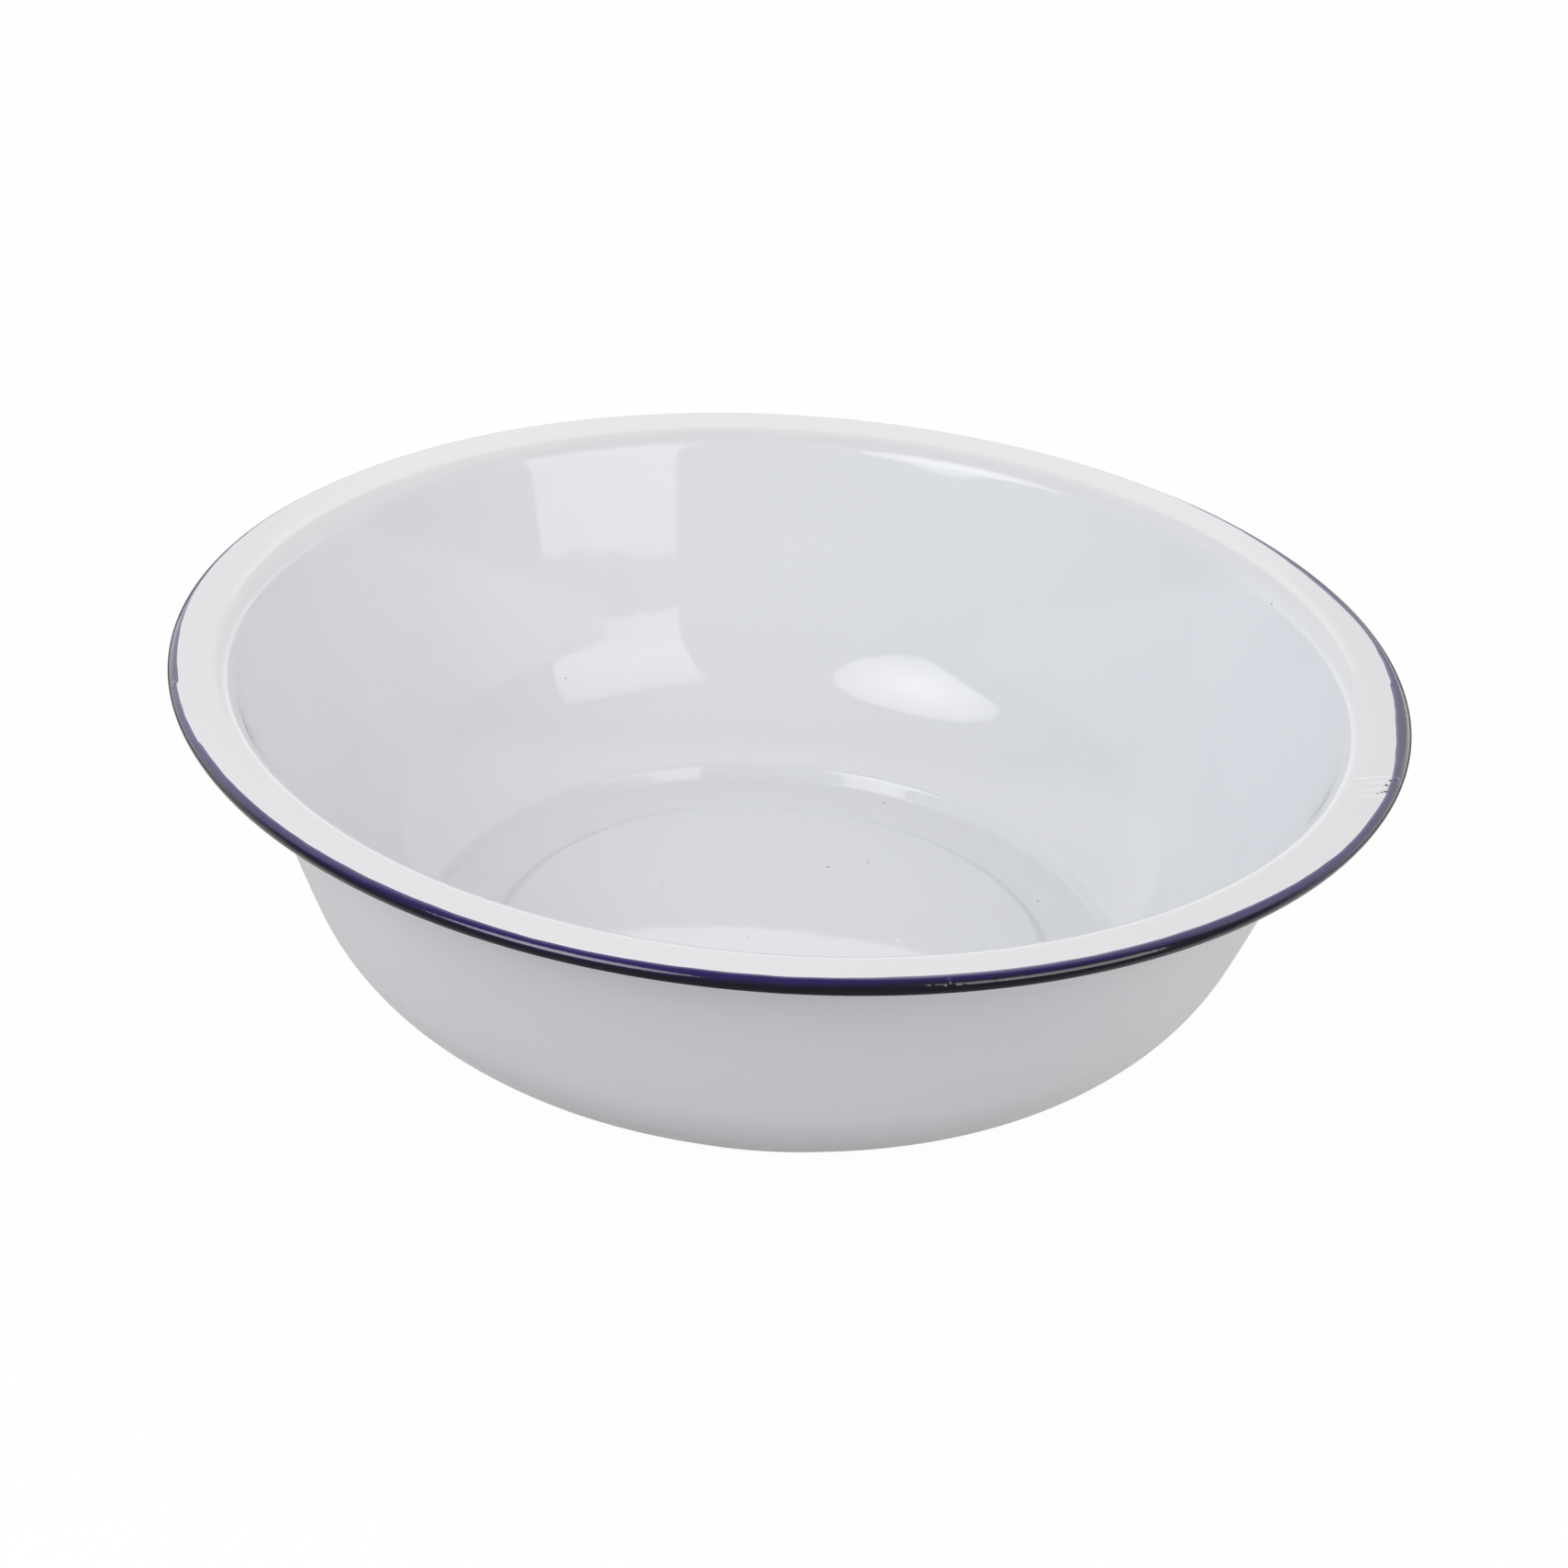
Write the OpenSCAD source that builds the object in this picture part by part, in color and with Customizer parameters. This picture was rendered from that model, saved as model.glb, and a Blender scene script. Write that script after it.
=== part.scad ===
// Enamelled steel basin with a rolled rim.
// The sheet is one path of lines and bends, drawn from the axis out to the end of the rolled rim.
// Each layer lies between two copies of that path, set off from the middle of the steel.

/* [Bowl] */
// Diameter over the rolled rim
rim_d = 360; // [330:1:400]
// Height from the table to the top of the rim
bowl_h = 104.5; // [95:0.5:115]
// Slope of the straight upper wall, in degrees from level
wall_angle = 71; // [67:0.5:76]
// Outside radius of the rounded lower wall
belly_r = 56; // [50:1:62]
// Slope of the lower wall where it leaves the foot, in degrees from level
belly_angle = 21; // [15:0.5:30]

/* [Rim] */
// Diameter of the rolled bead, over its enamel
bead_d = 4.8; // [4.2:0.1:7]
// Width of the rim, from the crown of the lip to the outside of the bead
flange_w = 11; // [9:0.5:15]
// Rise of the flange towards the bead, in degrees
flange_angle = 5; // [1:0.5:9]
// Inside radius of the lip where the wall turns out into the flange
lip_r = 8; // [5:0.5:11]
// Width of the blue band on the flat of the flange, in from the bead
blue_w = 0.5; // [0.2:0.1:3]
// Gap between the end of the curl and the underside of the flange
seam_gap = 0.3; // [0.1:0.05:0.6]

/* [Foot] */
// Width of the flat ring that the bowl stands on
stand_w = 17.5; // [12:0.5:30]
// Outside radius of the toe, where the standing ring turns up into the step
toe_r = 2.5; // [1.5:0.1:3.5]
// Slope of the step above the toe, in degrees from level
step_angle = 65; // [50:1:75]
// Height of the middle of the bend from the step into the lower wall
step_h = 3.7; // [3:0.1:6]
// Outside radius of that bend
step_r = 1.5; // [1:0.1:3]
// Rise of the centre panel above the standing ring
panel_rise = 2.5; // [1.5:0.1:4]
// Slope of the panel's edge, in degrees from level
panel_angle = 45; // [30:1:60]
// Radius of the panel's edge, on the face that bends round it
panel_r = 2; // [1.4:0.1:3]

/* [Sheet and enamel] */
// Thickness of the steel
steel_t = 0.5; // [0.4:0.05:0.9]
// Thickness of the ground coat on each face
ground_t = 0.15; // [0.12:0.01:0.2]
// Thickness of the cover coat on each face
cover_t = 0.25; // [0.2:0.01:0.35]
// Clearance between one layer and the next
bond_gap = 0.01; // [0.005:0.005:0.02]

/* [Hidden] */
$fn = 180;

// Largest distance between an arc and the straight runs that stand for it
arc_tol = 0.01;

// Inner and outer faces of the layers, measured from the middle of the steel
steel_face = steel_t / 2;
ground_seat = steel_face + bond_gap;
ground_face = ground_seat + ground_t;
cover_seat = ground_face + bond_gap;
cover_face = cover_seat + cover_t;

// A bend turns about its centre. Its side is 1 where the centre is above the sheet and -1 where it is below.
// Directions are the path's own, in degrees from level.
function dir(a) = [cos(a), sin(a)];
function bend(centre, r, side, from, to) = [centre, r, side, from, to];
function bend_steps(r, turn) = ceil(turn / (2 * acos(1 - arc_tol / r)));
function bend_points(b, off) =
    let (steps = bend_steps(b[1], abs(b[4] - b[3])))
    [for (i = [0 : steps])
        b[0] + (b[1] - b[2] * off) * dir(b[3] + (b[4] - b[3]) * i / steps - b[2] * 90)];

// Rim: the flange is the straight line that touches both the curl and the lip
curl_bend = bead_d / 2 - cover_face;
lip_bend = lip_r - cover_face;
flange_up = dir(flange_angle + 90);
bead_c = [rim_d / 2 - bead_d / 2, bowl_h - bead_d / 2];
lip_x = rim_d / 2 - flange_w;
lip_c = [
    lip_x,
    (flange_up * bead_c + curl_bend - lip_bend + sin(flange_angle) * lip_x) / cos(flange_angle)
];

// The curl closes until its enamel is the seam gap away from the underside of the flange
curl_turn = 360 - acos((curl_bend - cover_face - seam_gap) / (bead_d / 2));
// The ground coat covers the cut edge of the steel by its own thickness
function curl_angle(length) = length / curl_bend * 180 / PI;
steel_turn = curl_turn - curl_angle(ground_t + bond_gap);
ground_seat_turn = curl_turn - curl_angle(ground_t);

// Wall: straight down from the lip, as far as leaves room for the lower wall above the step
belly_bend = belly_r - cover_face;
step_bend = step_r + cover_face;
wall_in = dir(wall_angle + 90);
belly_up = dir(belly_angle + 90);
wall_top = lip_c + lip_bend * wall_in;
belly_z = step_h + (belly_bend + step_bend) * belly_up[1];
wall_l = (wall_top[1] + belly_bend * wall_in[1] - belly_z) / sin(wall_angle);
belly_c = wall_top + belly_bend * wall_in - wall_l * dir(wall_angle);

// Foot: the line of the step touches the bend above it and the toe below it
toe_bend = toe_r - cover_face;
step_out = dir(step_angle - 90);
step_c = belly_c - (belly_bend + step_bend) * belly_up;
toe_x = (step_out * step_c - step_bend - toe_bend + toe_r * cos(step_angle)) / sin(step_angle);
toe_c = [toe_x, toe_r];

// Centre panel: its edge bends up from the standing ring and over into the flat
panel_bend = panel_r - cover_face;
panel_slope_l = (panel_rise - 2 * panel_bend * (1 - cos(panel_angle))) / sin(panel_angle);
panel_foot_c = [toe_x - stand_w, panel_r];
panel_edge_c = [
    panel_foot_c[0] - 2 * panel_bend * sin(panel_angle) - panel_slope_l * cos(panel_angle),
    cover_face + panel_rise - panel_bend
];

// The sheet's bends from the axis to the flange, and its curl
bowl_bends = [
    bend(panel_edge_c, panel_bend, -1, 0, -panel_angle),
    bend(panel_foot_c, panel_bend, 1, -panel_angle, 0),
    bend(toe_c, toe_bend, 1, 0, step_angle),
    bend(step_c, step_bend, -1, step_angle, belly_angle),
    bend(belly_c, belly_bend, 1, belly_angle, wall_angle),
    bend(lip_c, lip_bend, -1, wall_angle, flange_angle)
];
function curl(turn) = bend(bead_c, curl_bend, -1, flange_angle, flange_angle - turn);

// Paths at a distance from the middle of the steel, upwards
curl_start = bead_c + curl_bend * flange_up;
function bowl_path(off) =
    [[0, cover_face + panel_rise + off], for (b = bowl_bends) each bend_points(b, off)];
function curl_path(off, turn) = bend_points(curl(turn), off);
function sheet_path(off, turn) = concat(bowl_path(off), curl_path(off, turn));
function blue_edge(off, gap) = curl_start + off * flange_up - (blue_w + gap) * dir(flange_angle);
function flange_end(off) = curl_start + off * flange_up;
function reversed(points) = [for (i = [len(points) - 1 : -1 : 0]) points[i]];

// A turned layer between an upper and a lower path
module layer(upper, lower) {
    rotate_extrude()
        polygon(concat(upper, reversed(lower)));
}

// The drawn sheet, from the centre panel to the hollow curl at the rim
module steel_shell() {
    color("silver")
        layer(
            sheet_path(steel_face, steel_turn),
            sheet_path(-steel_face, steel_turn)
        );
}

// The dark first coat, all round the sheet and over its cut edge
module ground_coat() {
    color("darkslategray")
        layer(
            concat(
                reversed(sheet_path(ground_seat, ground_seat_turn)),
                sheet_path(ground_face, curl_turn)
            ),
            concat(
                reversed(sheet_path(-ground_seat, ground_seat_turn)),
                sheet_path(-ground_face, curl_turn)
            )
        );
}

// The white coat on the inside, out to the blue band on the flange
module inside_enamel() {
    color("white")
        layer(
            concat(bowl_path(cover_face), [blue_edge(cover_face, bond_gap)]),
            concat(bowl_path(cover_seat), [blue_edge(cover_seat, bond_gap)])
        );
}

// The white coat on the outside, from the underside of the base to the start of the curl
module outside_enamel() {
    color("gainsboro")
        layer(
            concat(bowl_path(-cover_seat), [flange_end(-cover_seat)]),
            concat(bowl_path(-cover_face), [flange_end(-cover_face)])
        );
}

// The blue coat over the rolled rim
module rim_enamel() {
    color("midnightblue")
        layer(
            concat([blue_edge(cover_face, 0)], curl_path(cover_face, curl_turn)),
            concat([blue_edge(cover_seat, 0)], curl_path(cover_seat, curl_turn))
        );
}

steel_shell();
ground_coat();
inside_enamel();
outside_enamel();
rim_enamel();
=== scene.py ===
"""Looks of the enamelled steel basin: its five layers as turned meshes, their finishes and the studio."""

import math
from collections import namedtuple

import bmesh
import bpy
from mathutils import Matrix, Vector, noise


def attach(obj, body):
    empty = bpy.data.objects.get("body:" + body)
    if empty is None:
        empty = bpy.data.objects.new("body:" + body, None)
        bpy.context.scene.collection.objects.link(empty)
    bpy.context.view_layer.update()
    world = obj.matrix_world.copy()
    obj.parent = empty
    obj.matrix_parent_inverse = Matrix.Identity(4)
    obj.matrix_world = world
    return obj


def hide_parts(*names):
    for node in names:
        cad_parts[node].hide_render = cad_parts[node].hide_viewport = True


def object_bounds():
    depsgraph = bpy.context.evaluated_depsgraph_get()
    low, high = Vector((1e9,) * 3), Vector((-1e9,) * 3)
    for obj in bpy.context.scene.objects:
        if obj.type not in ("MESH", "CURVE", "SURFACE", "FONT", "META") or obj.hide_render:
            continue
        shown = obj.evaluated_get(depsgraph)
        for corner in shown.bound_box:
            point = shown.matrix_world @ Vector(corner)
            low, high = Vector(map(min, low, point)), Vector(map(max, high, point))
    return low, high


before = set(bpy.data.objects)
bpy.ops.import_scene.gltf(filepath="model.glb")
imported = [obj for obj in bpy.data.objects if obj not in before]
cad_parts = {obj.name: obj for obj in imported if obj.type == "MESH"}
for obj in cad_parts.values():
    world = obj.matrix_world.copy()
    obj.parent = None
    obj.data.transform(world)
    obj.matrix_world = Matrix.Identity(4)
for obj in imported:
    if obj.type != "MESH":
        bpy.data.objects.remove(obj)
cad_low, cad_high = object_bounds()

# Sizes of the basin, in metres and radians
BEAD_D = 0.0048
FLANGE_W = 0.011
FLANGE_ANGLE = math.radians(5)
LIP_R = 0.008
WALL_ANGLE = math.radians(71)
SHOULDER_R = 0.48
SHOULDER_ANGLE = math.radians(69)
BELLY_R = 0.056
BELLY_ANGLE = math.radians(21)
STEP_ANGLE = math.radians(65)
STEP_H = 0.0037
STEP_R = 0.0015
TOE_R = 0.0025
STAND_W = 0.0175
PANEL_RISE = 0.0025
PANEL_ANGLE = math.radians(36)
PANEL_R = 0.0040
SEAM_GAP = 0.0003

# Sheet and coats: thicknesses, and how far each face lies from the middle of the steel
STEEL_T = 0.0005
GROUND_T = 0.00015
COVER_T = 0.00025
BOND_GAP = 0.00001
PAINT_T = 0.00007
STEEL_FACE = STEEL_T / 2
GROUND_SEAT = STEEL_FACE + BOND_GAP
GROUND_FACE = GROUND_SEAT + GROUND_T
COVER_SEAT = GROUND_FACE + BOND_GAP
COVER_FACE = COVER_SEAT + COVER_T
PAINT_SEAT = COVER_FACE + BOND_GAP
PAINT_FACE = PAINT_SEAT + PAINT_T
FILM_MIDDLE = (PAINT_SEAT + PAINT_FACE) / 2

# Heights of the panel's steel, and of the white on the panel and on the standing ring
PANEL_Z = COVER_FACE + PANEL_RISE
PANEL_TOP = PANEL_Z + COVER_FACE
STAND_TOP = 2 * COVER_FACE
# Room inside the solid's box for the sheet's unevenness
SLACK = 0.00013
# How far round the curl the white coat reaches under the blue
WHITE_TURN = math.radians(75)

# Waves of the sheet: their lengths, their heights, and where each part of the bowl takes them up
BROAD_WAVE = 0.075
FINE_WAVE = 0.026
WALL_SWAY = 0.00006
BELLY_SWAY = 0.00005
PANEL_SWAY = 0.00003
RIM_SWAY = 0.00008
WALL_FROM = 0.108
WALL_FADE = 0.012
BELLY_TOP = 0.030
BELLY_FADE = 0.015
RIM_FROM = 0.080
RIM_FADE = 0.020
PANEL_TO = 0.070
PANEL_FADE = 0.012

# The curl is pressed flatter above and below, with a tighter bend at its front
CURL_PRESS = 0.0001
CURL_FRONT = math.radians(80)
CURL_WAVES = 4.5
CURL_FADE = math.radians(25)
CURL_REACH = math.radians(160)

# Steps of the meshes
RIGHT_ANGLE = math.pi / 2
BEND_STEP = math.radians(7)
FINE_RUN = 0.0025
HIDDEN_RUN = 0.010
COAT_STEPS = 384
RIM_STEPS = 960
HIDDEN_STEPS = 192
DOUBLINGS = 5
MERGE = 1e-6
CREASE = math.radians(50)
# A face or vertex looks up when its normal rises more than this
UPWARD = 0.5

# Edge of the blue band: azimuth in degrees from the front, and how far it lies past the start of the curl
PAINT_EDGE = (
    (-180, 0.0021), (-125, 0.0026), (-116, 0.0024), (-107, 0.0008), (-95, 0.0008), (-80, 0.0000),
    (-75, -0.0002), (-74, 0.0006), (-63.2, 0.0007), (-62.2, 0.0003), (-30, 0.0005), (-18, 0.0008),
    (0, 0.0004), (12, -0.0004), (36, -0.0003), (57, 0.0006), (66, 0.0001), (83, -0.0021),
    (91, -0.0017), (92, -0.0011), (102, -0.0005), (113, -0.0011), (132, 0.0001), (141, 0.0018),
    (180, 0.0021),
)
PAINT_NOSE = 0.0004
PAINT_WAVER = 0.00015
WAVER_TURN = 2.3

# Specks of dark ground that show through the white: place and radius
INSIDE_SPECKS = (
    ((0.01580, 0.04592, PANEL_TOP), 0.0005), ((0.02875, 0.05058, PANEL_TOP), 0.0004),
    ((-0.00789, -0.00012, PANEL_TOP), 0.0003), ((-0.03628, 0.02974, PANEL_TOP), 0.00025),
    ((0.03404, 0.09495, STAND_TOP), 0.0004), ((0.08340, 0.03796, STAND_TOP), 0.0004),
    ((-0.07550, 0.11382, 0.03011), 0.0003), ((0.14783, 0.06512, 0.09866), 0.0004),
)
OUTSIDE_SPECKS = (((-0.0045, -0.1571, 0.0745), 0.0004), ((-0.1010, -0.1218, 0.0790), 0.0004))

# Mark of the tongs on the right of the flange: its middle and reach in plan, the ends of its ridges and
# grooves (x, y), and its bare flecks (x, y, radius)
TONG_AT = Vector((0.1625, -0.0595))
TONG_REACH = 0.0085
TONG_CUTS = 9
RIDGES = (
    ((0.1583, -0.0542), (0.1672, -0.0529)),
    ((0.1573, -0.0622), (0.1652, -0.0595)),
    ((0.1585, -0.0646), (0.1645, -0.0648)),
)
GROOVES = (((0.1610, -0.0647), (0.1650, -0.0626)), ((0.1600, -0.0578), (0.1655, -0.0570)))
RIDGE_H = 0.00007
RIDGE_W = 0.0006
FLECKS = (
    (0.16775, -0.0560, 0.0009), (0.1661, -0.0588, 0.0008), (0.1653, -0.0626, 0.0008),
    (0.1642, -0.0629, 0.0005), (0.1630, -0.0635, 0.0004),
)

# A pimple on the panel: place in plan, radius and height
PIMPLE_AT = Vector((0.0389, 0.0054))
PIMPLE_R = 0.0009
PIMPLE_H = 0.00012
PIMPLE_REACH = 3 * PIMPLE_R
PIMPLE_CUTS = 6

# Drops of blue on the bead: azimuth and turn round the curl in degrees, radius and height
Drop = namedtuple("Drop", "azimuth turn radius height")
DROPS = (
    Drop(14.06, 45, 0.0006, 0.00014), Drop(14.6, 70, 0.0010, 0.00009), Drop(15.5, 73, 0.0010, 0.00006),
    Drop(13.6, 82, 0.0005, 0.00008), Drop(12.83, 62, 0.0003, 0.00006), Drop(12.36, 62, 0.0003, 0.00006),
    Drop(11.97, 61, 0.0003, 0.00006), Drop(11.64, 61, 0.0003, 0.00005), Drop(17.9, 66, 0.0004, 0.00007),
    Drop(-74.5, 22, 0.0008, 0.00013), Drop(-73.9, 55, 0.0007, 0.00010), Drop(72.1, 20, 0.0008, 0.00010),
)
# In radii of a drop: where the net round it is finer, and where it has died away
DROP_NET = 3
DROP_FAR = 6
DROP_CUTS = 2

Bend = namedtuple("Bend", "centre r side start end")


def heading(angle):
    """Unit vector of the section's plane at an angle from level."""
    return Vector((math.cos(angle), math.sin(angle)))


def sheet_bends(rim_r, top):
    """The sheet's bends from the axis to the flange, and the curl of its rim."""
    curl_r = BEAD_D / 2 - PAINT_FACE
    lip_bend = LIP_R - COVER_FACE
    flange_up = heading(FLANGE_ANGLE + RIGHT_ANGLE)
    bead = Vector((rim_r - BEAD_D / 2, top - BEAD_D / 2))
    lip_x = rim_r - FLANGE_W
    rise = flange_up.dot(bead) + curl_r - lip_bend + math.sin(FLANGE_ANGLE) * lip_x
    lip = Vector((lip_x, rise / math.cos(FLANGE_ANGLE)))
    seam = (curl_r - COVER_FACE - SEAM_GAP) / (BEAD_D / 2)
    curl_turn = math.tau - math.acos(seam)

    belly_bend = BELLY_R - COVER_FACE
    step_bend = STEP_R + COVER_FACE
    wall_in = heading(WALL_ANGLE + RIGHT_ANGLE)
    belly_up = heading(BELLY_ANGLE + RIGHT_ANGLE)
    wall_top = lip + lip_bend * wall_in
    shoulder_bend = SHOULDER_R - COVER_FACE
    shoulder_up = heading(SHOULDER_ANGLE + RIGHT_ANGLE)
    to_belly = (shoulder_bend - belly_bend) * shoulder_up
    belly_z = STEP_H + (belly_bend + step_bend) * belly_up.y
    wall_l = (wall_top.y + shoulder_bend * wall_in.y - to_belly.y - belly_z) / math.sin(WALL_ANGLE)
    shoulder = wall_top + shoulder_bend * wall_in - wall_l * heading(WALL_ANGLE)
    belly = shoulder - to_belly

    toe_bend = TOE_R - COVER_FACE
    step = belly - (belly_bend + step_bend) * belly_up
    step_line = heading(STEP_ANGLE - RIGHT_ANGLE).dot(step) - step_bend - toe_bend
    toe = Vector(((step_line + TOE_R * math.cos(STEP_ANGLE)) / math.sin(STEP_ANGLE), TOE_R))

    panel_bend = PANEL_R - COVER_FACE
    slope_l = (PANEL_RISE - 2 * panel_bend * (1 - math.cos(PANEL_ANGLE))) / math.sin(PANEL_ANGLE)
    panel_foot = Vector((toe.x - STAND_W, PANEL_R))
    panel_w = 2 * panel_bend * math.sin(PANEL_ANGLE) + slope_l * math.cos(PANEL_ANGLE)
    panel_edge = Vector((panel_foot.x - panel_w, PANEL_Z - panel_bend))

    bowl = [
        Bend(panel_edge, panel_bend, -1, 0, -PANEL_ANGLE),
        Bend(panel_foot, panel_bend, 1, -PANEL_ANGLE, 0),
        Bend(toe, toe_bend, 1, 0, STEP_ANGLE),
        Bend(step, step_bend, -1, STEP_ANGLE, BELLY_ANGLE),
        Bend(belly, belly_bend, 1, BELLY_ANGLE, SHOULDER_ANGLE),
        Bend(shoulder, shoulder_bend, 1, SHOULDER_ANGLE, WALL_ANGLE),
        Bend(lip, lip_bend, -1, WALL_ANGLE, FLANGE_ANGLE),
    ]
    return bowl, Bend(bead, curl_r, -1, FLANGE_ANGLE, FLANGE_ANGLE - curl_turn)


BOWL, CURL = sheet_bends(cad_high.x - SLACK, cad_high.z - SLACK)
CURL_TURN = CURL.start - CURL.end


def curl_to(turn):
    """The first part of the curl, through an angle."""
    return CURL._replace(end=CURL.start - turn)


def backwards(bends):
    """The same bends, walked the other way."""
    return [b._replace(start=b.end, end=b.start) for b in reversed(bends)]


def line_to(bm, vert, point, run):
    """Extrude a vertex to a point of the section, in steps of about one run."""
    start = vert.co.xz
    length = (point - start).length
    if length < MERGE:
        return vert
    steps = max(round(length / run), 1)
    for step in range(1, steps + 1):
        vert = bmesh.ops.extrude_vert_indiv(bm, verts=[vert])["verts"][0]
        spot = start.lerp(point, step / steps)
        vert.co = (spot.x, 0, spot.y)
    return vert


def walk(bm, vert, bends, off, run):
    """Draw on through bends of the sheet, at a distance above the middle of the steel."""
    for bend in bends:
        radius = bend.r - bend.side * off
        start = bend.centre + radius * heading(bend.start - bend.side * RIGHT_ANGLE)
        vert = line_to(bm, vert, start, run)
        turn = bend.end - bend.start
        steps = max(math.ceil(abs(turn) / BEND_STEP), round(abs(turn) * radius / run))
        spun = bmesh.ops.spin(
            bm, geom=[vert], cent=(bend.centre.x, 0, bend.centre.y), axis=(0, -1, 0), angle=turn, steps=steps
        )
        vert = spun["geom_last"][0]
    return vert


def section(bm, bends, upper, lower, upper_run, lower_run):
    """Draw a layer's section, out along its upper face and back along its lower one."""
    vert = bm.verts.new((0, 0, PANEL_Z + upper))
    vert = walk(bm, vert, bends, upper, upper_run)
    vert = walk(bm, vert, backwards(bends), lower, lower_run)
    line_to(bm, vert, Vector((0, PANEL_Z + lower)), lower_run)


def curl_point(turn, off):
    """A point of the section on the curl, past its start by an angle."""
    return CURL.centre + (CURL.r + off) * heading(CURL.start - turn + RIGHT_ANGLE)


def turned(bm, steps):
    """Turn the drawn section about the axis: a narrow sector is spun, then doubled until the ring closes."""
    sector = math.tau / 2**DOUBLINGS
    geom = bm.verts[:] + bm.edges[:]
    bmesh.ops.spin(bm, geom=geom, cent=(0, 0, 0), axis=(0, 0, 1), angle=sector, steps=steps // 2**DOUBLINGS)
    for doubling in range(DOUBLINGS):
        copy = bmesh.ops.duplicate(bm, geom=bm.verts[:] + bm.edges[:] + bm.faces[:])["geom"]
        verts = [part for part in copy if isinstance(part, bmesh.types.BMVert)]
        turn = Matrix.Rotation(sector * 2**doubling, 3, "Z")
        bmesh.ops.rotate(bm, verts=verts, cent=(0, 0, 0), matrix=turn)
    bmesh.ops.remove_doubles(bm, verts=bm.verts[:], dist=MERGE)
    bmesh.ops.recalc_face_normals(bm, faces=bm.faces[:])


def azimuth(co):
    """Degrees round the bowl from the front, positive to the right."""
    return math.degrees(math.atan2(co.x, -co.y))


def at_azimuth(co, step):
    """A step in the section, turned to the azimuth of a point."""
    out = co.xy.normalized() * step.x
    return Vector((out.x, out.y, step.y))


def curl_arm(co):
    """The arm from the middle of the curl to a point of the rim, and its turn past the curl's start."""
    arm = Vector((co.xy.length, co.z)) - CURL.centre
    return arm, (CURL.start + RIGHT_ANGLE - math.atan2(arm.y, arm.x)) % math.tau


def smooth(t):
    """Ease from 0 to 1."""
    t = min(max(t, 0), 1)
    return t * t * (3 - 2 * t)


def bell(distance, width):
    """Fall from 1 at no distance toward 0 past a width."""
    return math.exp(-((distance / width) ** 2))


def unevenness(co):
    """How the pressed and fired sheet departs from a true turned shape at a point."""
    r = co.xy.length
    broad = noise.noise(co / BROAD_WAVE)
    fine = noise.noise(co / FINE_WAVE)
    rim = smooth((co.z - RIM_FROM) / RIM_FADE)
    wall = smooth((r - WALL_FROM) / WALL_FADE) * (1 - rim)
    belly = wall * (1 - smooth((co.z - BELLY_TOP) / BELLY_FADE))
    panel = 1 - smooth((r - PANEL_TO) / PANEL_FADE)
    out = wall * WALL_SWAY * broad + belly * BELLY_SWAY * fine
    up = panel * PANEL_SWAY * fine + rim * RIM_SWAY * broad
    sway = at_azimuth(co, Vector((out, up)))
    arm, turn = curl_arm(co)
    if turn < CURL_REACH:
        ease = smooth(turn / CURL_FADE) * smooth((CURL_REACH - turn) / CURL_FADE)
        press = arm.normalized() * CURL_PRESS * math.cos(CURL_WAVES * (turn - CURL_FRONT)) * ease
        sway += at_azimuth(co, press)
    return sway


def layer(upper, lower, turn, upper_run, lower_run, steps):
    """A closed layer of the sheet that reaches round the curl by an angle."""
    bm = bmesh.new()
    section(bm, BOWL + [curl_to(turn)], upper, lower, upper_run, lower_run)
    turned(bm, steps)
    return bm


def steel_sheet():
    """The drawn steel, under all the coats."""
    turn = CURL_TURN - (GROUND_T + BOND_GAP) / CURL.r
    return layer(STEEL_FACE, -STEEL_FACE, turn, HIDDEN_RUN, HIDDEN_RUN, HIDDEN_STEPS)


def ground_skin():
    """The dark first coat, all round the steel and over its cut edge."""
    bm = bmesh.new()
    section(bm, BOWL + [CURL], GROUND_FACE, -GROUND_FACE, HIDDEN_RUN, HIDDEN_RUN)
    inner = BOWL + [curl_to(CURL_TURN - GROUND_T / CURL.r)]
    section(bm, inner, GROUND_SEAT, -GROUND_SEAT, HIDDEN_RUN, HIDDEN_RUN)
    turned(bm, HIDDEN_STEPS)
    return bm


def refine(bm, faces, cuts):
    """Cut some faces into a finer net."""
    edges = list(dict.fromkeys(edge for face in faces for edge in face.edges))
    bmesh.ops.subdivide_edges(bm, edges=edges, cuts=cuts, use_grid_fill=True)


def from_line(spot, ends):
    """Distance of a point from a short straight line, in plan."""
    start, end = (Vector(p) for p in ends)
    along = min(max((spot - start).dot(end - start) / (end - start).length_squared, 0), 1)
    return (spot - start.lerp(end, along)).length


def tong_mark(bm):
    """Raise the ridges and press the grooves that the tongs left on the flange."""
    lip_z = BOWL[-1].centre.y

    def marked(co, normal, reach):
        return normal.z > UPWARD and co.z > lip_z and (co.xy - TONG_AT).length < reach

    net = [face for face in bm.faces if marked(face.calc_center_median(), face.normal, TONG_REACH + FINE_RUN)]
    refine(bm, net, TONG_CUTS)
    for vert in bm.verts:
        if marked(vert.co, vert.normal, TONG_REACH):
            rise = sum(bell(from_line(vert.co.xy, ends), RIDGE_W) for ends in RIDGES)
            fall = sum(bell(from_line(vert.co.xy, ends), RIDGE_W / 2) for ends in GROOVES)
            vert.co.z += RIDGE_H * (rise - fall)


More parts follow.
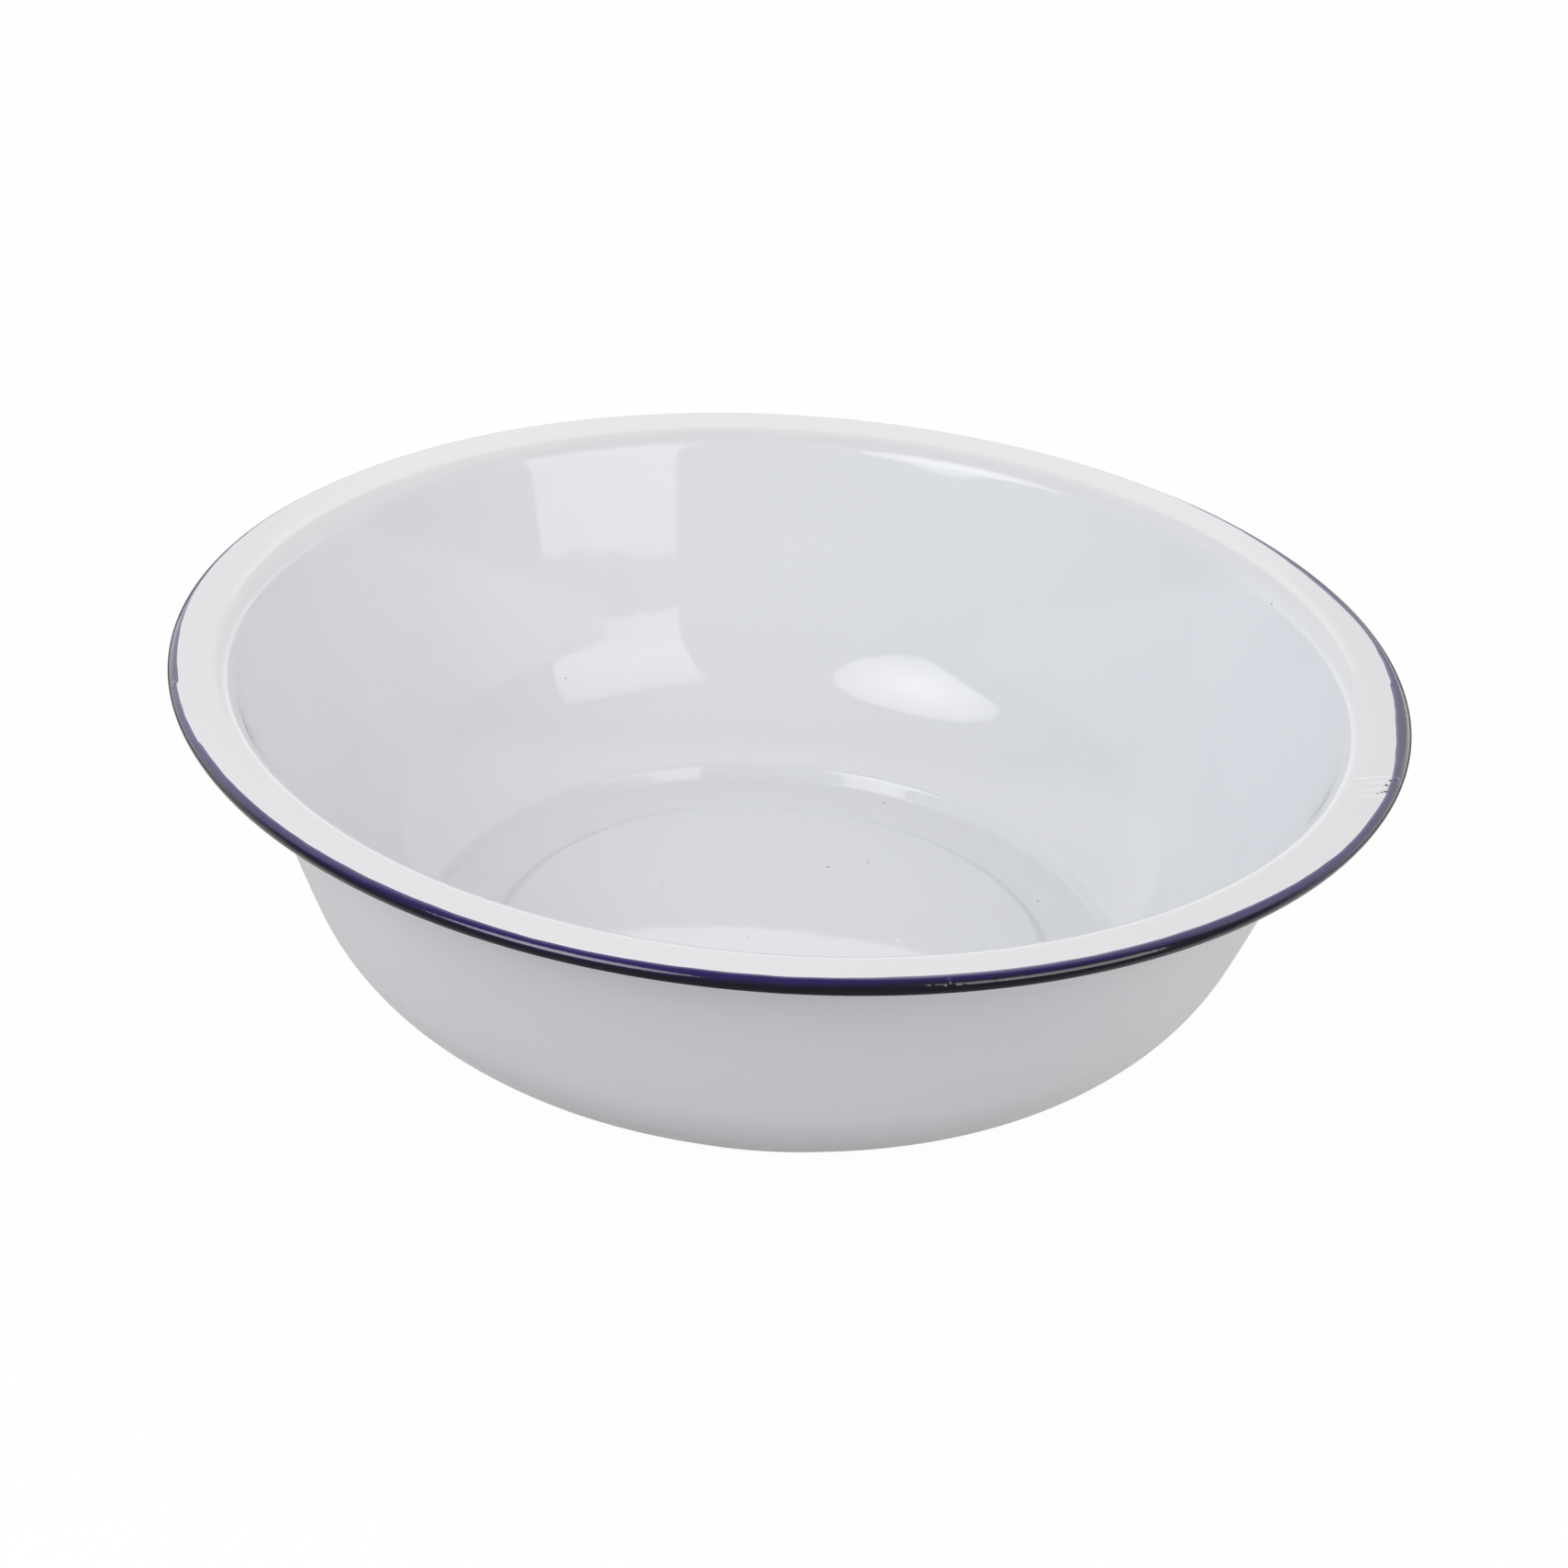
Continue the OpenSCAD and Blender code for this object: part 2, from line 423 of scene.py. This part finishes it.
def pimple(bm):
    """Raise the small blister of the inside coat on the panel."""
    net = [
        face for face in bm.faces
        if face.normal.z > UPWARD and (face.calc_center_median().xy - PIMPLE_AT).length < PIMPLE_REACH
    ]
    refine(bm, net, PIMPLE_CUTS)
    for vert in bm.verts:
        if vert.normal.z > UPWARD:
            vert.co.z += PIMPLE_H * bell((vert.co.xy - PIMPLE_AT).length, PIMPLE_R)


def inside_coat():
    """The white coat inside and over the flange, out to under the blue."""
    bm = layer(COVER_FACE, COVER_SEAT, WHITE_TURN, FINE_RUN, HIDDEN_RUN, COAT_STEPS)
    bm.normal_update()
    tong_mark(bm)
    pimple(bm)
    return bm


def outside_coat():
    """The white coat on the outside and the base, up to the start of the curl."""
    return layer(-COVER_SEAT, -COVER_FACE, 0, HIDDEN_RUN, FINE_RUN, COAT_STEPS)


def rim_coat():
    """The blue coat over the curl, a thin film on the white and thicker past its end."""
    bm = bmesh.new()
    beyond = CURL._replace(start=CURL.start - WHITE_TURN - BOND_GAP / CURL.r)
    start = curl_point(0, PAINT_FACE)
    vert = bm.verts.new((start.x, 0, start.y))
    vert = walk(bm, vert, [CURL], PAINT_FACE, FINE_RUN)
    vert = walk(bm, vert, backwards([beyond]), COVER_SEAT, FINE_RUN)
    vert = walk(bm, vert, backwards([curl_to(WHITE_TURN)]), PAINT_SEAT, FINE_RUN)
    line_to(bm, vert, start, FINE_RUN)
    turned(bm, RIM_STEPS)
    brush_edge(bm)
    drops(bm)
    return bm


def paint_edge(angle):
    """Where the brushed edge of the blue lies at an azimuth, past the start of the curl."""
    (a, low), (b, high) = next(pair for pair in zip(PAINT_EDGE, PAINT_EDGE[1:]) if angle <= pair[1][0])
    waver = PAINT_WAVER * noise.noise(Vector((angle / WAVER_TURN, 0, 0)))
    return low + (high - low) * smooth((angle - a) / (b - a)) + waver


def brush_edge(bm):
    """Draw the film of blue out or in along the rim to its uneven, rounded edge."""
    from_edge = bm.verts.layers.float.new("from_edge")
    film_l = WHITE_TURN * BEAD_D / 2
    along = heading(FLANGE_ANGLE)
    for vert in bm.verts:
        arm, turn = curl_arm(vert.co)
        if turn > math.tau - BEND_STEP / 2:
            turn = 0
        edge = paint_edge(azimuth(vert.co))
        if turn > WHITE_TURN:
            vert[from_edge] = turn * BEAD_D / 2 - edge
            continue
        inward = 1 - turn / WHITE_TURN
        place = film_l - inward * (film_l - edge)
        depth = place - edge
        vert[from_edge] = depth
        off = arm.length - CURL.r
        if off > FILM_MIDDLE:
            swell = 1 - min(max(depth / PAINT_NOSE, 0), 1)
            off = PAINT_SEAT + PAINT_T * math.sqrt(1 - swell * swell)
        vert.co = at_azimuth(vert.co, curl_point(max(place, 0) / (BEAD_D / 2), off) + min(place, 0) * along)


def drop_radii(co, drop):
    """How many of a drop's radii a point on the outside of the bead lies from it."""
    side = math.radians(azimuth(co) - drop.azimuth) * co.xy.length
    if abs(side) > DROP_FAR * drop.radius:
        return math.inf
    arm, turn = curl_arm(co)
    up = (turn - math.radians(drop.turn)) * arm.length
    return math.hypot(side, up) / drop.radius if arm.length > CURL.r + FILM_MIDDLE else math.inf


def drops(bm):
    """Swell the drops that stand on the bead."""
    for drop in DROPS:
        net = [face for face in bm.faces if drop_radii(face.calc_center_median(), drop) < DROP_NET]
        refine(bm, net, DROP_CUTS)
    for vert in bm.verts:
        swell = sum(drop.height * bell(drop_radii(vert.co, drop), 1) for drop in DROPS)
        if swell:
            arm, _ = curl_arm(vert.co)
            vert.co += at_azimuth(vert.co, arm.normalized() * swell)


class Wire:
    """A socket of a finish's node tree that takes part in Python sums."""

    def __init__(self, finish, socket):
        self.finish = finish
        self.socket = socket

    def sum(self, operation, first, second):
        return self.finish.node("ShaderNodeMath", {"operation": operation}, {0: first, 1: second})

    def __add__(self, other):
        return self.sum("ADD", self, other)

    def __radd__(self, other):
        return self.sum("ADD", other, self)

    def __sub__(self, other):
        return self.sum("SUBTRACT", self, other)

    def __rsub__(self, other):
        return self.sum("SUBTRACT", other, self)

    def __mul__(self, other):
        return self.sum("MULTIPLY", self, other)

    def __rmul__(self, other):
        return self.sum("MULTIPLY", other, self)


class Finish:
    """The node tree of a material, of a lamp or of the world."""

    def __init__(self, owner):
        owner.use_nodes = True
        self.owner = owner
        self.tree = owner.node_tree
        self.tree.nodes.clear()

    def node(self, kind, settings, sockets, out=0):
        """Add a node with its settings, then the values or links of its sockets, and give one output."""
        made = self.tree.nodes.new(kind)
        for name, value in settings.items():
            setattr(made, name, value)
        for name, value in sockets.items():
            if isinstance(value, Wire):
                self.tree.links.new(value.socket, made.inputs[name])
            else:
                made.inputs[name].default_value = value
        return Wire(self, made.outputs[out]) if made.outputs else None

    def coords(self):
        return self.node("ShaderNodeTexCoord", {}, {}, "Object")

    def noise(self, place, scale, detail):
        return self.node("ShaderNodeTexNoise", {}, {"Vector": place, "Scale": scale, "Detail": detail})

    def between(self, value, low, high):
        """Ease from 0 at low to 1 at high."""
        return self.node(
            "ShaderNodeMapRange", {"interpolation_type": "SMOOTHSTEP"},
            {"Value": value, "From Min": low, "From Max": high, "To Min": 0.0, "To Max": 1.0},
        )

    def mix(self, share, first, second):
        """Mix two colours."""
        return self.node("ShaderNodeMix", {"data_type": "RGBA"}, {0: share, 6: first, 7: second}, 2)

    def vector(self, operation, first, second, out=0):
        return self.node("ShaderNodeVectorMath", {"operation": operation}, {0: first, 1: second}, out)

    def part(self, vector, axis):
        """One part of a vector: X, Y or Z."""
        return self.node("ShaderNodeSeparateXYZ", {}, {"Vector": vector}, axis)

    def bump(self, height, strength, distance):
        sockets = {"Height": height, "Strength": strength, "Distance": distance}
        return self.node("ShaderNodeBump", {}, sockets, "Normal")

    def done(self, kind, shader):
        """Join a shader to the tree's output, and give the tree's owner."""
        self.node(kind, {}, {"Surface": shader})
        return self.owner

    def principled(self, sockets):
        """Finish a material with one Principled shader."""
        return self.done("ShaderNodeOutputMaterial", self.node("ShaderNodeBsdfPrincipled", {}, sockets))


def grey(level):
    """A neutral colour."""
    return level, level, level, 1.0


# Colours of the enamel
INSIDE_WHITE = (0.796, 0.807, 0.828, 1.0)
# Painted shade: the flange's top faces the light, so it gets a darker, less blue white than the inside, though
# it is the same coat
FLANGE_SHADED_WHITE = (0.760, 0.758, 0.764, 1.0)
OUTSIDE_WHITE = (0.835, 0.843, 0.858, 1.0)
SPECK = (0.035, 0.035, 0.04, 1.0)
BLUE_EDGE = (0.09, 0.075, 0.20, 1.0)
BLUE_FILM = (0.021, 0.013, 0.105, 1.0)
# Painted shade: near black on the bead's lower half, which faces down away from the light
BLUE_UNDERSIDE_SHADE = (0.006, 0.005, 0.013, 1.0)
BLISTER = (0.24, 0.23, 0.36, 1.0)
GROUND_DARK = (0.02, 0.02, 0.035, 1.0)
GROUND_PALE = (0.04, 0.04, 0.06, 1.0)
STEEL_DARK = (0.50, 0.51, 0.52, 1.0)
STEEL_PALE = (0.60, 0.61, 0.62, 1.0)

# White: how dark its clouds are, and the heights between which the inside's white gives way to the flange's
# painted shade
CLOUD_SHADE = 0.985
FLANGE_SHADE_FROM = (0.0985, 0.1025)
# Blue: depths from its edge between which the film stops being thin, and between which the bead's lower half
# turns to near-black painted shade
FILM_THIN = (0.0001, 0.0011)
UNDERSIDE_SHADE_DEPTHS = (0.0011, 0.0033)
BLISTER_SIZE = (0.025, 0.055)
# Share of a spot's radius that is all dark
SPOT_CORE = 0.45

# Patterns of the finishes, in waves per metre
CLOUDS = 22.0
RIPPLES = 140.0
BLISTERS = 230.0
BRUSH_CLOUDS = 300.0
BRUSH_RIPPLES = 500.0
STEEL_GRAIN = 900.0
GROUND_GRAIN = 1500.0


def spots(f, place, marks):
    """How far a point of the surface lies inside any of some round spots."""
    cover = 0
    for spot, radius in marks:
        reach = f.vector("DISTANCE", place, spot, "Value")
        cover = cover + (1 - f.between(reach, radius * SPOT_CORE, radius))
    return cover


def flange_spot(x, y):
    """A point on top of the flange."""
    start = curl_point(0, COVER_FACE)
    return x, y, start.y + (math.hypot(x, y) - start.x) * math.tan(FLANGE_ANGLE)


FLECK_SPOTS = tuple((flange_spot(x, y), radius) for x, y, radius in FLECKS)


def white_enamel(name, colour, rim_shaded_colour, marks):
    """Glossy white enamel with a faint ripple and a few dark specks, and from the flange up a second colour,
    which on the inside is painted shade.
    """
    f = Finish(bpy.data.materials.new(name))
    place = f.coords()
    ripple = f.noise(place, RIPPLES, 1.0)
    cloud = f.noise(place, CLOUDS, 2.0)
    shade = tuple(c * CLOUD_SHADE for c in colour[:3]) + (1.0,)
    # Painted shade: from the lip up the colour gives way to the darker rim colour
    rim_shade_share = f.between(f.part(place, "Z"), *FLANGE_SHADE_FROM)
    coat = f.mix(rim_shade_share, f.mix(cloud, shade, colour), rim_shaded_colour)
    return f.principled({
        "Base Color": f.mix(spots(f, place, marks), coat, SPECK),
        "Roughness": 0.03 + 0.025 * cloud,
        "IOR": 1.52,
        "Normal": f.bump(ripple, 0.02, 0.001),
    })


def blue_enamel(name):
    """Glossy cobalt enamel: pale where its film runs thin at the edge, and near black with painted shade round
    the bead's lower half.
    """
    f = Finish(bpy.data.materials.new(name))
    place = f.coords()
    depth = f.node("ShaderNodeAttribute", {"attribute_name": "from_edge"}, {}, "Fac")
    thin = 1 - f.between(depth, *FILM_THIN)
    underside_shade = f.between(depth, *UNDERSIDE_SHADE_DEPTHS)
    cells = f.node("ShaderNodeTexVoronoi", {}, {"Vector": place, "Scale": BLISTERS})
    blisters = 1 - f.between(cells, *BLISTER_SIZE)
    # Painted shade: further round the curl the blue darkens to near black on the bead's underside
    film = f.mix(underside_shade, f.mix(thin, BLUE_FILM, BLUE_EDGE), BLUE_UNDERSIDE_SHADE)
    return f.principled({
        "Base Color": f.mix(spots(f, place, FLECK_SPOTS), f.mix(blisters, film, BLISTER), SPECK),
        "Roughness": 0.05 + 0.05 * f.noise(place, BRUSH_CLOUDS, 3.0),
        "IOR": 1.75,
        "Normal": f.bump(f.noise(place, BRUSH_RIPPLES, 2.0), 0.08, 0.0005),
    })


def plain_steel(name):
    """Drawn sheet steel."""
    f = Finish(bpy.data.materials.new(name))
    grain = f.noise(f.coords(), STEEL_GRAIN, 4.0)
    return f.principled({
        "Base Color": f.mix(grain, STEEL_DARK, STEEL_PALE),
        "Metallic": 1.0,
        "Roughness": 0.32 + 0.2 * grain,
    })


def ground_enamel(name):
    """Dark first coat with fine bubbles."""
    f = Finish(bpy.data.materials.new(name))
    grain = f.noise(f.coords(), GROUND_GRAIN, 3.0)
    return f.principled({
        "Base Color": f.mix(grain, GROUND_DARK, GROUND_PALE),
        "Roughness": 0.25 + 0.2 * grain,
    })


def placed(name, data):
    """A new object of the scene."""
    obj = bpy.data.objects.new(name, data)
    bpy.context.scene.collection.objects.link(obj)
    return obj


def meshed(bm, name, material):
    """A new object of the scene from a finished bmesh."""
    mesh = bpy.data.meshes.new(name)
    bm.to_mesh(mesh)
    bm.free()
    mesh.materials.append(material)
    return placed(name, mesh)


def piece(bm, name, node, material):
    """Finish a mesh as a piece of the basin that stands for a node of the solid model."""
    for vert in bm.verts:
        vert.co += unevenness(vert.co)
    for face in bm.faces:
        face.smooth = True
    obj = meshed(bm, name, material)
    obj.data.set_sharp_from_angle(angle=CREASE)
    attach(obj, "root")
    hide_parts(node)


# The inside's white turns to a darker painted shade on the flange
white_inside = white_enamel("white_inside", INSIDE_WHITE, FLANGE_SHADED_WHITE, INSIDE_SPECKS + FLECK_SPOTS)
white_outside = white_enamel("white_outside", OUTSIDE_WHITE, OUTSIDE_WHITE, OUTSIDE_SPECKS)
piece(steel_sheet(), "steel_sheet", "steel_shell", plain_steel("plain_steel"))
piece(ground_skin(), "ground_skin", "ground_coat", ground_enamel("ground_enamel"))
piece(inside_coat(), "inside_coat", "inside_enamel", white_inside)
piece(outside_coat(), "outside_coat", "outside_enamel", white_outside)
piece(rim_coat(), "rim_coat", "rim_enamel", blue_enamel("blue_enamel"))

# Floor: its colour in the light and to the camera, and how much of its own glow it has where it is seen
# straight and where it is mirrored
FLOOR_R = 6.0
FLOOR_SIDES = 96
FLOOR_DROP = 0.00005
WHITE = grey(1.0)
FLOOR_COLOUR = grey(0.55)
FLOOR_SEEN = grey(0.95)
FLOOR_SHOWN = 0.97
FLOOR_MIRRORED = 0.8
# Tones of the mirrored floor, and the places along Y where one becomes the next
FLOOR_FRONT = grey(0.04)
FLOOR_SIDE = grey(0.65)
FLOOR_BACK = grey(0.3)
FRONT_TO_SIDE = (-0.20, -0.05)
SIDE_TO_BACK = (0.10, 0.25)

# Light of the room all round, and the room's parts as the enamel mirrors them
SKY = (0.29, 0.29, 0.30, 1.0)
FRONT_ROOM = grey(0.15)
BACKDROP = grey(1.25)
BACK_RIGHT = grey(1.05)
BACK_LIT = grey(1.8)
BACK_LOW = grey(1.6)
ROOF = grey(0.9)
OVERHEAD = grey(0.15)
# Where a part becomes the next, along a unit direction: by its side, its depth away or its height
RIGHT_FROM = (0.0, 0.12)
BACK_FROM = (0.0, 0.5)
ROOF_BACK_FROM = (-0.05, 0.25)
LOW_TO = (0.10, 0.30)
ROOF_FROM = (0.51, 0.62)
LIT_DEPTH = (0.5, 0.6)
LIT_HEIGHT = (0.48, 0.52)
LIT_SIDE_SQUARED = (0.01, 0.03)

# A lamp's glow is its radiance at a hot line or point and how much it loses per metre from there;
# the lamp is covered below a height
Glow = namedtuple("Glow", "height across peak loss covered")
# Angles in degrees as seen from the bowl, sizes in metres
Lamp = namedtuple("Lamp", "name shape azimuth elevation distance width height roll radiance tint glow")
LAMPS = (
    Lamp("left_octabox", "DISK", -38.0, 36.5, 1.5, 1.10, 1.10, -37, 1.03, (1.00, 1.00, 1.00),
         Glow(0.0, 1.0, 3.7, 4.1, -0.40)),
    Lamp("right_softbox", "RECTANGLE", 48.6, 29.7, 1.5, 0.92, 0.95, -6.7, 0.98, (1.00, 1.00, 1.00),
         Glow(-0.15, 0.2, 1.9, 1.5, -2.0)),
    Lamp("ceiling", "RECTANGLE", 0, 90, 2.0, 2.4, 2.4, 0, 0.28, (0.98, 0.97, 1.00), None),
    Lamp("fill_back", "RECTANGLE", 180, 35, 2.0, 2.0, 1.5, 0, 0.69, (1.00, 0.99, 0.99), None),
    Lamp("fill_front", "RECTANGLE", 0, 30, 2.0, 2.0, 1.5, 0, 0.25, (0.95, 0.97, 1.00), None),
    Lamp("fill_left", "RECTANGLE", -95, 25, 2.0, 2.0, 1.5, 0, 0.63, (0.84, 0.92, 1.00), None),
    Lamp("fill_right", "RECTANGLE", 95, 25, 2.0, 2.0, 1.5, 0, 0.48, (1.00, 0.98, 0.96), None),
)
COVER_EDGE = 0.01
AIM = Vector((0, 0, 0.05))


def softbox(lamp):
    """A lamp that faces the bowl; one with a glow is mirrored in the enamel, the others only light it."""
    az, el = math.radians(lamp.azimuth), math.radians(lamp.elevation)
    away = Vector((math.sin(az) * math.cos(el), -math.cos(az) * math.cos(el), math.sin(el)))
    turn = away.to_track_quat("Z", "Y").to_matrix().to_4x4()
    roll = Matrix.Rotation(math.radians(lamp.roll), 4, "Z")
    data = bpy.data.lights.new(lamp.name, "AREA")
    data.shape = lamp.shape
    data.size = lamp.width
    data.size_y = lamp.height
    data.color = lamp.tint
    # A square lamp of this power, or a disc that fills the square, has the radiance asked for
    data.energy = lamp.radiance * 4 * lamp.width * lamp.height * (math.pi / 4 if lamp.shape == "DISK" else 1)
    obj = placed(lamp.name, data)
    obj.matrix_world = Matrix.Translation(AIM + away * lamp.distance) @ turn @ roll
    obj.visible_glossy = lamp.glow is not None
    obj.visible_camera = False
    if lamp.glow:
        glow_finish(data, obj.matrix_world, lamp.glow)


def glow_finish(data, place, glow):
    """Nodes of a lamp that is brightest at a hot line or point and fades away from it."""
    f = Finish(data)
    spot = f.node("ShaderNodeNewGeometry", {}, {}, "Position")
    arm = f.vector("SUBTRACT", spot, place.translation)
    along, up = (f.vector("DOT_PRODUCT", arm, place.to_3x3().col[axis], "Value") for axis in (0, 1))
    away = f.node("ShaderNodeCombineXYZ", {}, {"X": glow.across * along, "Y": up - glow.height, "Z": 0.0})
    reach = f.node("ShaderNodeVectorMath", {"operation": "LENGTH"}, {0: away}, "Value")
    shown = f.between(up, glow.covered - COVER_EDGE, glow.covered + COVER_EDGE)
    strength = (glow.peak - glow.loss * reach) * shown
    f.done("ShaderNodeOutputLight", f.node("ShaderNodeEmission", {}, {"Strength": strength}))


def rays(f):
    """Which rays ask: those of the camera, and those that come by way of a reflection or a clear body."""
    camera_ray, glossy, clear = (
        f.node("ShaderNodeLightPath", {}, {}, f"Is {kind} Ray") for kind in ("Camera", "Glossy", "Transmission")
    )
    return camera_ray, glossy + clear


def floor_finish():
    """Pale floor that shows white and keeps a soft shadow."""
    f = Finish(bpy.data.materials.new("floor"))
    camera_ray, mirrored = rays(f)
    matte = f.node("ShaderNodeBsdfDiffuse", {}, {"Color": f.mix(camera_ray, FLOOR_COLOUR, FLOOR_SEEN)})
    depth = f.part(f.node("ShaderNodeNewGeometry", {}, {}, "Position"), "Y")
    behind = f.mix(f.between(depth, *SIDE_TO_BACK), FLOOR_SIDE, FLOOR_BACK)
    tone = f.mix(f.between(depth, *FRONT_TO_SIDE), FLOOR_FRONT, behind)
    white = f.node("ShaderNodeEmission", {}, {"Color": f.mix(camera_ray, tone, WHITE), "Strength": 1.0})
    shown = FLOOR_SHOWN * camera_ray + FLOOR_MIRRORED * mirrored
    return f.done("ShaderNodeOutputMaterial", f.node("ShaderNodeMixShader", {}, {0: shown, 1: matte, 2: white}))


def studio_floor():
    """A wide round floor just under the bowl."""
    bm = bmesh.new()
    bmesh.ops.create_circle(bm, cap_ends=True, segments=FLOOR_SIDES, radius=FLOOR_R)
    bmesh.ops.translate(bm, verts=bm.verts[:], vec=(0, 0, cad_low.z - FLOOR_DROP))
    meshed(bm, "floor", floor_finish())


def studio_world():
    """Even light from all round, white where it is seen, and a room for the enamel to mirror."""
    f = Finish(bpy.data.worlds.new("studio"))
    camera_ray, mirrored = rays(f)
    way = f.node("ShaderNodeTexCoord", {}, {}, "Generated")
    side, depth, height = (f.part(way, axis) for axis in "XYZ")
    backdrop = f.mix(f.between(side, *RIGHT_FROM), BACKDROP, BACK_RIGHT)
    back = f.mix(f.between(height, *LOW_TO), BACK_LOW, backdrop)
    room = f.mix(f.between(depth, *BACK_FROM), FRONT_ROOM, back)
    roof = f.mix(f.between(depth, *ROOF_BACK_FROM), OVERHEAD, ROOF)
    roofed = f.mix(f.between(height, *ROOF_FROM), room, roof)
    middle = 1 - f.between(side * side, *LIT_SIDE_SQUARED)
    lit = f.between(depth, *LIT_DEPTH) * f.between(height, *LIT_HEIGHT) * middle
    light = f.mix(mirrored, SKY, f.mix(lit, roofed, BACK_LIT))
    colour = f.mix(camera_ray, light, WHITE)
    background = f.node("ShaderNodeBackground", {}, {"Color": colour, "Strength": 1.0})
    bpy.context.scene.world = f.done("ShaderNodeOutputWorld", background)


# Camera at the photograph's viewpoint
CAMERA_AT = Vector((0, -0.818309, 0.514452))
CAMERA_AIM = Vector((0, 0.87367047, -0.48651815))
CAMERA_RIGHT = Vector((0.99763421, 0.03344605, 0.06006112))
SENSOR = 36.0
FOCAL_PX = 3405
IMAGE_PX = 1709
CLIP_START = 0.01


def camera():
    """The camera, rolled a little, as the photograph's was."""
    data = bpy.data.cameras.new("camera")
    data.sensor_width = SENSOR
    data.lens = SENSOR * FOCAL_PX / IMAGE_PX
    data.clip_start = CLIP_START
    ahead = CAMERA_AIM.normalized()
    up = CAMERA_RIGHT.cross(ahead).normalized()
    right = ahead.cross(up)
    turn = Matrix((right, up, -ahead)).transposed().to_4x4()
    obj = placed("camera", data)
    obj.matrix_world = Matrix.Translation(CAMERA_AT) @ turn
    bpy.context.scene.camera = obj


for lamp in LAMPS:
    softbox(lamp)
studio_floor()
studio_world()
camera()
bpy.context.scene.view_settings.view_transform = "Standard"
